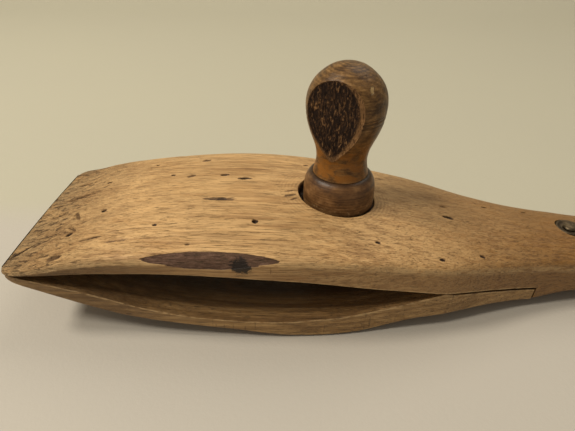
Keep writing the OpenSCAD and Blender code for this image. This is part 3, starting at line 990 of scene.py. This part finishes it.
def makeKnobWood():
    look = screwPlan
    material, tree, shader, place = startMaterial("darkTurnedWood")
    centred = vectorMath(tree, "SUBTRACT", place, (screwAt - wholeLength / 2, 0, 0))
    parts = separated(tree, centred)
    wear = useGroup(tree, wearGroup, {"Place": centred, "Size": 1.9})
    # the grain stands upright, so the figure group is fed with the height first
    figure = useGroup(tree, figureGroup, {
        "Place": combined(tree, parts[2], parts[0], parts[1]), "Length": 26.0, "Width": 0.7,
        "Ring": 2.6, "Sway": 7.0, "Pith Y": 6.0, "Pith Z": 4.0})
    turning = noiseOf(tree, scaled(tree, centred, 60, 60, 1.1), 4, 0.7)
    mottled = noiseOf(tree, scaled(tree, centred, 11, 11, 6), 5, 0.65, 0.6)
    flecks = noiseOf(tree, scaled(tree, centred, 2.2, 2.2, 0.9), 5, 0.7)
    # end grain rings round the very top
    poleLines = wavy(tree, summed(tree, (distanceOf(tree, parts[0], parts[1]), 3.4),
                                  (mottled, 14.0)))
    pole = calc(tree, "MULTIPLY", poleLines, remap(tree, parts[2], 127.0, 134.0, 0.0, 0.055))
    shade = summed(tree, (mottled, 0.42), (turning, 0.24), (figure["Rings"], 0.045),
                   (flecks, 0.31), (pole, -1.0))
    colour = colourRamp(tree, shade, [(0.42, look["deep"]), (0.52, look["mid"]),
                                      (0.64, look["light"]), (0.76, look["mid"])])
    # the neck is an amber brown where hands have kept it clean
    neck = calc(tree, "MULTIPLY", remap(tree, parts[2], 108.0, 88.0),
                remap(tree, parts[2], 74.0, 77.5))
    neck = calc(tree, "MULTIPLY", neck, remap(tree, mottled, 0.38, 0.56, 0.1, 0.92))
    lines = []
    for middle, half in look["bands"]:
        away = calc(tree, "ABSOLUTE", calc(tree, "SUBTRACT", parts[2], middle))
        lines.append(remap(tree, away, half * 1.6, half * 0.4))
    bands = calc(tree, "MAXIMUM", calc(tree, "MAXIMUM", lines[0], lines[1]), lines[2])
    bands = calc(tree, "MULTIPLY", bands, remap(tree, mottled, 0.38, 0.55, 0.1, 0.9))
    chipWay = scaled(tree, vectorMath(tree, "SUBTRACT", centred, look["chipAt"]), 1.3, 3.0, 2.3)
    chipReach = addNode(tree, "VectorMath", {0: chipWay}, operation="LENGTH").outputs["Value"]
    chip = remap(tree, calc(tree, "MULTIPLY_ADD", flecks, 1.6, chipReach), 1.75, 1.45)
    # the torn flat, with a paler rim that is wider on its right
    facet = field(tree, "facet")
    torn = noiseOf(tree, scaled(tree, centred, 1.5, 1.5, 4.2), 6, 0.72, 1.1)
    facetColour = colourRamp(tree, torn, [(0.47, look["facetDark"]), (0.56, look["facetMid"]),
                                          (0.64, look["facetFibre"])])
    rimColour = colourRamp(tree, torn, [(0.38, look["rimDark"]), (0.51, look["facetFibre"])])
    rimNoise = calc(tree, "SUBTRACT", calc(tree, "MULTIPLY_ADD", torn, 4.4, -2.2),
                    remap(tree, parts[0], -7.0, 5.0, -0.25, 2.0))
    rim = remap(tree, calc(tree, "ADD", facet, rimNoise), 0.9, 0.15)
    onFacet = calc(tree, "GREATER_THAN", facet, 0.004)
    colour = layered(
        tree, colour, (neck, 1, look["amber"]), (bands, 0.8, look["deep"]),
        (remap(tree, wear["Grime"], 0.5, 0.66, 0.0, 0.6), 1, look["deep"]),
        (wear["Specks"], 0.8, look["facetDark"]), (wear["Scratch"], 0.3, look["light"]),
        (chip, 0.8, look["chip"]), (remap(tree, parts[2], 54.0, 48.0), 0.75, look["thread"]),
        (onFacet, 1, layered(tree, facetColour, (rim, 0.88, rimColour))))
    roughness = calc(tree, "MULTIPLY_ADD", wear["Grime"], 0.5, 0.15)
    roughness = calc(tree, "MULTIPLY_ADD", onFacet, 0.5, roughness, clamp=True)
    height = summed(tree, (turning, 0.16), (wear["Dents"], 0.16), (figure["Fibre"], 0.14),
                    (bands, -0.22), (chip, -0.3), (calc(tree, "MULTIPLY", onFacet, torn), 2.2))
    finishMaterial(tree, shader, colour, roughness, height, look["bumpDepth"],
                   **{"Specular IOR Level": 0.24, "Coat Weight": 0.05, "Coat Roughness": 0.3})
    return material


def screwProfile():
    shape = screwPlan
    tall = shape["top"] - shape["bottom"]
    points = [(0, shape["top"] - 0.25)]
    for i in range(72):
        s = 1 - i / 71
        r = shape["radius"] * along(shape["outline"], s)
        groove = sum(0.35 * math.exp(-((s - at) / 0.006) ** 2) for at in (0.54, 0.575))
        points.append((r - groove, shape["bottom"] + tall * s - (0.25 if i == 0 else 0)))
    points += [(14.6, shape["bottom"] + 0.02), (shape["shank"], 75.2)]
    points += [(shape["shank"], z) for z in (70, 65, 60, 55, 51)]
    count = shape["threadSteps"]
    drop = shape["screwEnd"] - shape["shankEnd"]
    points += [(shape["shank"], shape["shankEnd"] + drop * i / count) for i in range(count + 1)]
    return points + [(0, shape["screwEnd"])]


def cutThread(bm, axis):
    shape = screwPlan
    for v in bm.verts:
        mmHigh = v.co.z * 1000
        away = v.co - axis
        r = math.hypot(away.x, away.y) * 1000
        if mmHigh <= shape["shankEnd"] and r > 1:
            wanted = threadReach(away.x, away.y, mmHigh, 1.25,
                                 shape["shank"] - shape["threadDepth"],
                                 shape["threadDepth"], shape["pitch"])
            # the thread runs out in a blunt point
            wanted = min(wanted, 10.2 + 1.2 * max(0, mmHigh - shape["screwEnd"]))
            v.co.x = axis.x + away.x * wanted / r
            v.co.y = axis.y + away.y * wanted / r


def cutFacet(bm, axis, facet):
    # the flat is cut along a plane, and its face gets torn, upright grain
    shape = screwPlan
    turn, lean = math.radians(shape["facetTurn"]), math.radians(shape["facetLean"])
    outward = Vector((-math.sin(turn) * math.cos(lean), -math.cos(turn) * math.cos(lean),
                      -math.sin(lean)))
    reach = shape["facetReach"] / 1000
    lowest = shape["facetBelow"] / 1000
    upper = [g for g in bm.verts[:] + bm.edges[:] + bm.faces[:]
             if all(v.co.z > lowest for v in (g.verts if hasattr(g, "verts") else [g]))]
    bmesh.ops.bisect_plane(bm, geom=upper, dist=0.000001, plane_co=axis + outward * reach,
                           plane_no=outward)
    chosen = []
    for f in bm.faces:
        middle = f.calc_center_median()
        if middle.z > lowest and (middle - axis).dot(outward) > reach + 0.00001:
            chosen.append(f)
    edges = list({e for f in chosen for e in f.edges})
    bmesh.ops.subdivide_edges(bm, edges=edges, cuts=1, use_grid_fill=True)
    for v in bm.verts:
        beyond = (v.co - axis).dot(outward) - reach
        if v.co.z > lowest and beyond > 0.000002:
            v[facet] = beyond * 1000
            rag = noise.noise(Vector((v.co.x * 900, v.co.y * 900, v.co.z * 190)))
            rag += 0.6 * noise.noise(Vector((v.co.x * 2000, v.co.y * 2000, v.co.z * 420)))
            sink = shape["relief"] / 1000 * max(0, 0.55 + rag) * soft(v[facet], 0, 0.5)
            v.co -= outward * (beyond + sink)


def drawIn(v, axis, keep):
    away = v.co - axis
    v.co.x = axis.x + away.x * keep
    v.co.y = axis.y + away.y * keep


def buildClampScrew(material):
    shape = screwPlan
    bm = bmesh.new()
    spinProfile(bm, screwProfile(), shape["steps"], screwAt)
    facet = bm.verts.layers.float.new("facet")
    axis = toFrame((screwAt, 0, shape["middleHeight"]))
    cutThread(bm, axis)
    cutFacet(bm, axis, facet)
    # small dents and wear of the round head
    for v in bm.verts:
        if v.co.z > 0.08 and v[facet] == 0:
            dent = 0.5 + 0.5 * noise.noise(v.co * 90)
            fine = 0.5 + 0.5 * noise.noise(v.co * 320)
            drawIn(v, axis, 1 - (0.012 * dent + 0.005 * fine))
    return newPiece(bm, "clampScrew", material, 40, inMm=False)


collarPlan = dict(
    # colours
    light=(0.25, 0.13, 0.05),
    mid=(0.145, 0.067, 0.022),
    deep=(0.065, 0.029, 0.010),
    dark=(0.02, 0.009, 0.004),
    scuff=(0.34, 0.21, 0.10),
    bumpDepth=0.7,
    # shape, in mm: radius and height, from the bore round the outside
    profile=[(12.7, 55.05), (19.3, 55.05), (20.2, 55.4), (20.65, 56.4), (20.68, 60), (20.6, 64),
             (20.5, 66.5), (20.25, 69), (19.85, 70.8), (19.2, 72.4), (18.3, 73.8), (17.4, 74.7),
             (16.5, 75.25), (15.9, 75.4), (15.3, 75.0), (15.0, 74.2), (12.7, 74.0)],
    spacing=0.9,
    boreCuts=14,
    steps=112,
)


def makeCollarWood():
    look = collarPlan
    material, tree, shader, place = startMaterial("polishedCollarWood")
    centred = vectorMath(tree, "SUBTRACT", place, (screwAt - wholeLength / 2, 0, 0))
    parts = separated(tree, centred)
    wear = useGroup(tree, wearGroup, {"Place": centred, "Size": 2.2})
    figure = useGroup(tree, figureGroup, {
        "Place": combined(tree, parts[0], parts[2], parts[1]), "Length": 30.0, "Width": 0.8,
        "Ring": 3.0, "Sway": 5.0, "Pith Y": 40.0, "Pith Z": 30.0})
    turning = noiseOf(tree, scaled(tree, centred, 70, 70, 0.9), 4, 0.7)
    mottled = noiseOf(tree, scaled(tree, centred, 8, 8, 5), 5, 0.65)
    shade = summed(tree, (mottled, 0.45), (turning, 0.35), (figure["Fibre"], 0.24))
    colour = colourRamp(tree, shade, [(0.42, look["deep"]), (0.52, look["mid"]),
                                      (0.63, look["light"]), (0.74, look["mid"])])
    scuffs = calc(tree, "MULTIPLY", remap(tree, parts[2], 68.0, 60.0),
                  remap(tree, noiseOf(tree, scaled(tree, centred, 3, 3, 2), 5, 0.75), 0.55, 0.66))
    # grime gathers in the joint with the neck, and the foot, down in the recess, is darkened as painted
    # shade
    colour = layered(
        tree, colour, (figure["Rings"], 0.25, look["deep"]),
        (remap(tree, wear["Grime"], 0.5, 0.66, 0.0, 0.6), 1, look["deep"]),
        (wear["Specks"], 0.8, look["dark"]),
        (remap(tree, parts[2], 73.0, 75.4), 0.75, look["dark"]),
        (remap(tree, parts[2], 58.5, 56.0), 0.6, look["dark"]), (scuffs, 0.7, look["scuff"]))
    roughness = calc(tree, "MULTIPLY_ADD", wear["Grime"], 0.5, 0.16, clamp=True)
    height = summed(tree, (turning, 0.22), (wear["Dents"], 0.16), (wear["Scratch"], -0.1))
    finishMaterial(tree, shader, colour, roughness, height, look["bumpDepth"],
                   **{"Specular IOR Level": 0.3, "Coat Weight": 0.05, "Coat Roughness": 0.3})
    return material


def buildKnobCollar(material):
    shape = collarPlan
    bm = bmesh.new()
    points = shape["profile"]
    dense = [points[0]]
    for start, end in zip(points, points[1:]):
        cuts = max(1, round(math.dist(start, end) / shape["spacing"]))
        dense += [(start[0] + (end[0] - start[0]) * i / cuts,
                   start[1] + (end[1] - start[1]) * i / cuts) for i in range(1, cuts + 1)]
    (bore, low), high, cuts = points[0], points[-1][1], shape["boreCuts"]
    dense += [(bore, high + (low - high) * i / cuts) for i in range(1, cuts)]
    spinProfile(bm, dense + [points[0]], shape["steps"], screwAt)
    axis = toFrame((screwAt, 0, 0))
    for v in bm.verts:
        away = v.co - axis
        if math.hypot(away.x, away.y) > 0.0158:
            dent = 0.5 + 0.5 * noise.noise(v.co * 85 + Vector((5, 0, 0)))
            drawIn(v, axis, 1 - 0.012 * dent)
    return newPiece(bm, "knobCollar", material, 46, inMm=False)


rivetPlan = dict(
    # colours
    rove=(0.085, 0.060, 0.034),
    rivet=(0.12, 0.087, 0.050),
    dark=(0.030, 0.022, 0.013),
    bright=(0.22, 0.16, 0.092),
    # shape, in mm
    roveRadius=8.3,
    roveThick=1.6,
    shank=2.4,
    headHeight=1.6,
    steps=56,
)


def makeMetal(name, base, size):
    look = rivetPlan
    material, tree, shader, place = startMaterial(name)
    wear = useGroup(tree, wearGroup, {"Place": place, "Size": size})
    stain = noiseOf(tree, scaled(tree, place, 5, 5, 5), 5, 0.6)
    colour = colourRamp(tree, stain, [(0.28, look["dark"]), (0.5, base), (0.74, look["bright"])])
    grime = remap(tree, wear["Grime"], 0.5, 0.68, 0.0, 0.35)
    colour = layered(tree, colour, (grime, 1, look["dark"]))
    roughness = calc(tree, "MULTIPLY_ADD", stain, 0.3, 0.24)
    roughness = calc(tree, "MULTIPLY_ADD", wear["Grime"], 0.15, roughness, clamp=True)
    height = summed(tree, (stain, 0.12), (wear["Dents"], 0.3), (wear["Scratch"], -0.2))
    finishMaterial(tree, shader, colour, roughness, height, 0.35, Metallic=0.85)
    return material


def roveHeights(x):
    # undersides of the upper and of the lower rove
    lower = max(0, along(handleBase, x)) + rivetPlan["roveThick"] + 0.4
    return along(ridge, x + rivetPlan["roveRadius"]) - 0.5, lower


def buildRivetRoves(material):
    r, t = rivetPlan["roveRadius"], rivetPlan["roveThick"]
    section = [(2.5, 0.25), (4.4, 0.1), (r - 0.5, 0.0), (r - 0.1, 0.3), (r, 0.75),
               (r - 0.15, 1.25), (r - 0.6, t - 0.05), (r - 1.15, t), (r - 1.8, t - 0.15),
               (r - 2.4, 0.95), (4.9, 0.8), (3.6, 0.95), (2.5, 1.05), (2.5, 0.65), (2.5, 0.25)]
    bm = bmesh.new()
    for x in rivetsAt:
        upper, lower = roveHeights(x)
        spinProfile(bm, [(a, upper + h) for a, h in section], rivetPlan["steps"], x)
        spinProfile(bm, [(a, lower + t - h) for a, h in section], rivetPlan["steps"], x)
    hammer(bm, 0.05)
    return newPiece(bm, "rivetRoves", material, 50, inMm=False)


def hammer(bm, depth):
    for v in bm.verts:
        v.co.z += depth / 1000 * noise.noise(v.co * 420)


def buildTongueRivets(material):
    shape = rivetPlan
    bm = bmesh.new()
    for x in rivetsAt:
        upper, lower = roveHeights(x)
        high, low = upper + shape["roveThick"], lower
        tall, shank = shape["headHeight"], shape["shank"]
        profile = [(0, high + tall - 0.15), (1.1, high + tall - 0.2), (2.2, high + tall - 0.35),
                   (3.1, high + tall * 0.6), (3.8, high + 0.35), (4.0, high - 0.1),
                   (3.7, high - 0.45), (shank, high - 0.55), (shank, (high + low) / 2),
                   (shank, low + 0.55), (3.7, low + 0.45), (4.0, low + 0.1), (3.8, low - 0.4),
                   (3.2, low - tall * 0.7), (2.2, low - tall + 0.3), (0, low - tall + 0.15)]
        spinProfile(bm, profile, shape["steps"], x)
    hammer(bm, 0.12)
    return newPiece(bm, "tongueRivets", material, 50, inMm=False)


stagePlan = dict(
    table=(0.50, 0.465, 0.405),
    wall=(0.495, 0.47, 0.365),
    cloud=(0.42, 0.40, 0.36),
    turnsToWall=(35, 85),    # mm behind the middle of the clamp
    half=3.0,
    front=-2.0,
    bendAt=0.9,
    bend=0.7,
    height=2.6,
)


def makeStage():
    look = stagePlan
    bm = bmesh.new()
    left, bend, start = -look["half"], look["bend"], look["bendAt"]
    turns = [math.pi / 2 * i / 16 for i in range(1, 17)]
    line = [(look["front"], 0), (start, 0)]
    line += [(start + bend * math.sin(a), bend - bend * math.cos(a)) for a in turns]
    chain = [bm.verts.new((left, y, z)) for y, z in line + [(start + bend, look["height"])]]
    edges = [bm.edges.new(pair) for pair in zip(chain, chain[1:])]
    made = bmesh.ops.extrude_edge_only(bm, edges=edges)["geom"]
    moved = [v for v in made if isinstance(v, bmesh.types.BMVert)]
    bmesh.ops.translate(bm, verts=moved, vec=(2 * look["half"], 0, 0))
    bmesh.ops.recalc_face_normals(bm, faces=bm.faces)
    mesh = bpy.data.meshes.new("studioSweep")
    for f in bm.faces:
        f.smooth = True
    bm.to_mesh(mesh)
    bm.free()
    sweep = bpy.data.objects.new("studioSweep", mesh)
    bpy.context.scene.collection.objects.link(sweep)
    material, tree, shader, place = startMaterial("palePlaster")
    back = remap(tree, separated(tree, place)[1], *look["turnsToWall"])
    colour = mixColour(tree, back, (*look["table"], 1), (*look["wall"], 1))
    cloudy = noiseOf(tree, scaled(tree, place, 240, 240, 240), 4, 0.6)
    colour = layered(tree, colour, (remap(tree, cloudy, 0.3, 0.7, 0.0, 0.07), 1, look["cloud"]))
    fine = noiseOf(tree, scaled(tree, place, 2.5, 2.5, 2.5), 3, 0.6)
    roughness = calc(tree, "MULTIPLY_ADD", fine, 0.1, 0.6)
    finishMaterial(tree, shader, colour, roughness, fine, 0.12)
    mesh.materials.append(material)


cameraPlan = dict(
    stand=(-0.0296, -0.2176, 0.1931),  # from the foot of the screw's axis
    pitch=34.5,      # degrees below the horizon
    roll=1.0,
    lens=27.05,
    sensor=36.0,
)


def makeCamera():
    place = cameraPlan
    pitch, roll = math.radians(place["pitch"]), math.radians(place["roll"])
    forward = Vector((0, math.cos(pitch), -math.sin(pitch)))
    right = Vector((1, 0, 0))
    up = right.cross(forward)
    turnedRight = right * math.cos(roll) + up * math.sin(roll)
    turnedUp = up * math.cos(roll) - right * math.sin(roll)
    turn = Matrix((turnedRight, turnedUp, -forward)).transposed()
    data = bpy.data.cameras.new("camera")
    data.lens = place["lens"]
    data.sensor_width = place["sensor"]
    camera = bpy.data.objects.new("camera", data)
    bpy.context.scene.collection.objects.link(camera)
    screwLow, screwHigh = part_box("clamp_screw")
    foot = Vector(((screwLow[0] + screwHigh[0]) / 2, 0, 0))
    camera.matrix_world = Matrix.Translation(Vector(place["stand"]) + foot) @ turn.to_4x4()
    bpy.context.scene.camera = camera


lampPlan = dict(
    lamps=dict(
        windowLeft=dict(at=(-1.42, -0.04, 1.83), size=0.42, power=22.0),
        lampLeft=dict(at=(-1.30, -0.60, 1.85), size=0.42, power=22.0),
        ceiling=dict(at=(0.7, 1.0, 1.8), size=1.6, power=12.0),
    ),
    warmth=(1.0, 0.92, 0.79),
    aim=(-0.06, 0.0, 0.03),
    sky=(1.0, 0.94, 0.83),
    skyPower=0.28,
)


def makeLights():
    look = lampPlan
    for name, lamp in look["lamps"].items():
        data = bpy.data.lights.new(name, "AREA")
        data.shape = "DISK"
        data.size = lamp["size"]
        data.energy = lamp["power"]
        data.color = look["warmth"]
        light = bpy.data.objects.new(name, data)
        bpy.context.scene.collection.objects.link(light)
        aim = Vector(look["aim"]) - Vector(lamp["at"])
        light.location = lamp["at"]
        light.rotation_euler = aim.to_track_quat("-Z", "Y").to_euler()
    world = bpy.data.worlds.new("softRoom")
    bpy.context.scene.world = world
    world.use_nodes = True
    sky = world.node_tree.nodes["Background"]
    sky.inputs["Color"].default_value = (*look["sky"], 1)
    sky.inputs["Strength"].default_value = look["skyPower"]
    bpy.context.scene.view_settings.view_transform = "Standard"


makeCamera()
makeStage()
makeLights()
print("camera, stage and lights stand")

jawAndHandle = buildJawAndHandle(makeJawWood())
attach(jawAndHandle, "root")
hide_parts("fixed_jaw")

springJaw = buildSpringJaw(makeSpringWood())
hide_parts("spring_jaw_leaf", "spring_jaw_root")
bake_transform(springJaw, "leaf", "root", start=(-0.045, 0, 0.016), end=(0.001, 0, 0.016))

clampScrew = buildClampScrew(makeKnobWood())
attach(clampScrew, "screw")
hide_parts("clamp_screw")

knobCollar = buildKnobCollar(makeCollarWood())
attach(knobCollar, "screw")
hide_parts("knob_collar")

rivetRoves = buildRivetRoves(makeMetal("agedBronze", rivetPlan["rove"], 2.0))
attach(rivetRoves, "root")
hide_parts("rivet_roves")

tongueRivets = buildTongueRivets(makeMetal("rubbedBronze", rivetPlan["rivet"], 2.6))
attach(tongueRivets, "root")
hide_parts("tongue_rivets")
print("all pieces ride on their bodies")
